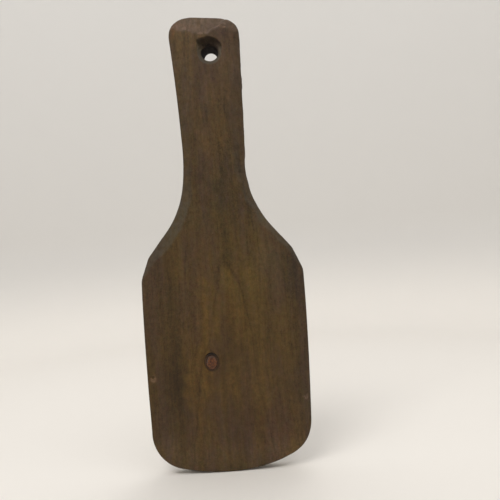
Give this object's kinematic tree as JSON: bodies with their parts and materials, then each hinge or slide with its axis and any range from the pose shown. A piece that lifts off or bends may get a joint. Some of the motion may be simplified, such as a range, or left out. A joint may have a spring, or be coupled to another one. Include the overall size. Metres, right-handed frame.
{
  "type": "single blade paddle",
  "caption": "Hand-carved one-piece wooden hand paddle with a broad flat blade, a flared handle, a hanging hole and a round knot in the blade.",
  "frame": {"origin": "centre of the hanging hole, halfway through the handle's thickness", "axes": "+Z along the paddle from the blade towards the handle's end, +Y out of the flat back, +X to the right seen from the front"},
  "size_m": [0.1194, 0.0187, 0.3333],
  "materials": {
    "board_wood": "worn oiled",
    "knot_wood": "worn oiled",
    "knot_bark": "rough"
  },
  "bodies": {
    "root": {"paddle_body": "board_wood", "knot_core": "knot_wood", "knot_bark_ring": "knot_bark"}
  },
  "joints": []
}
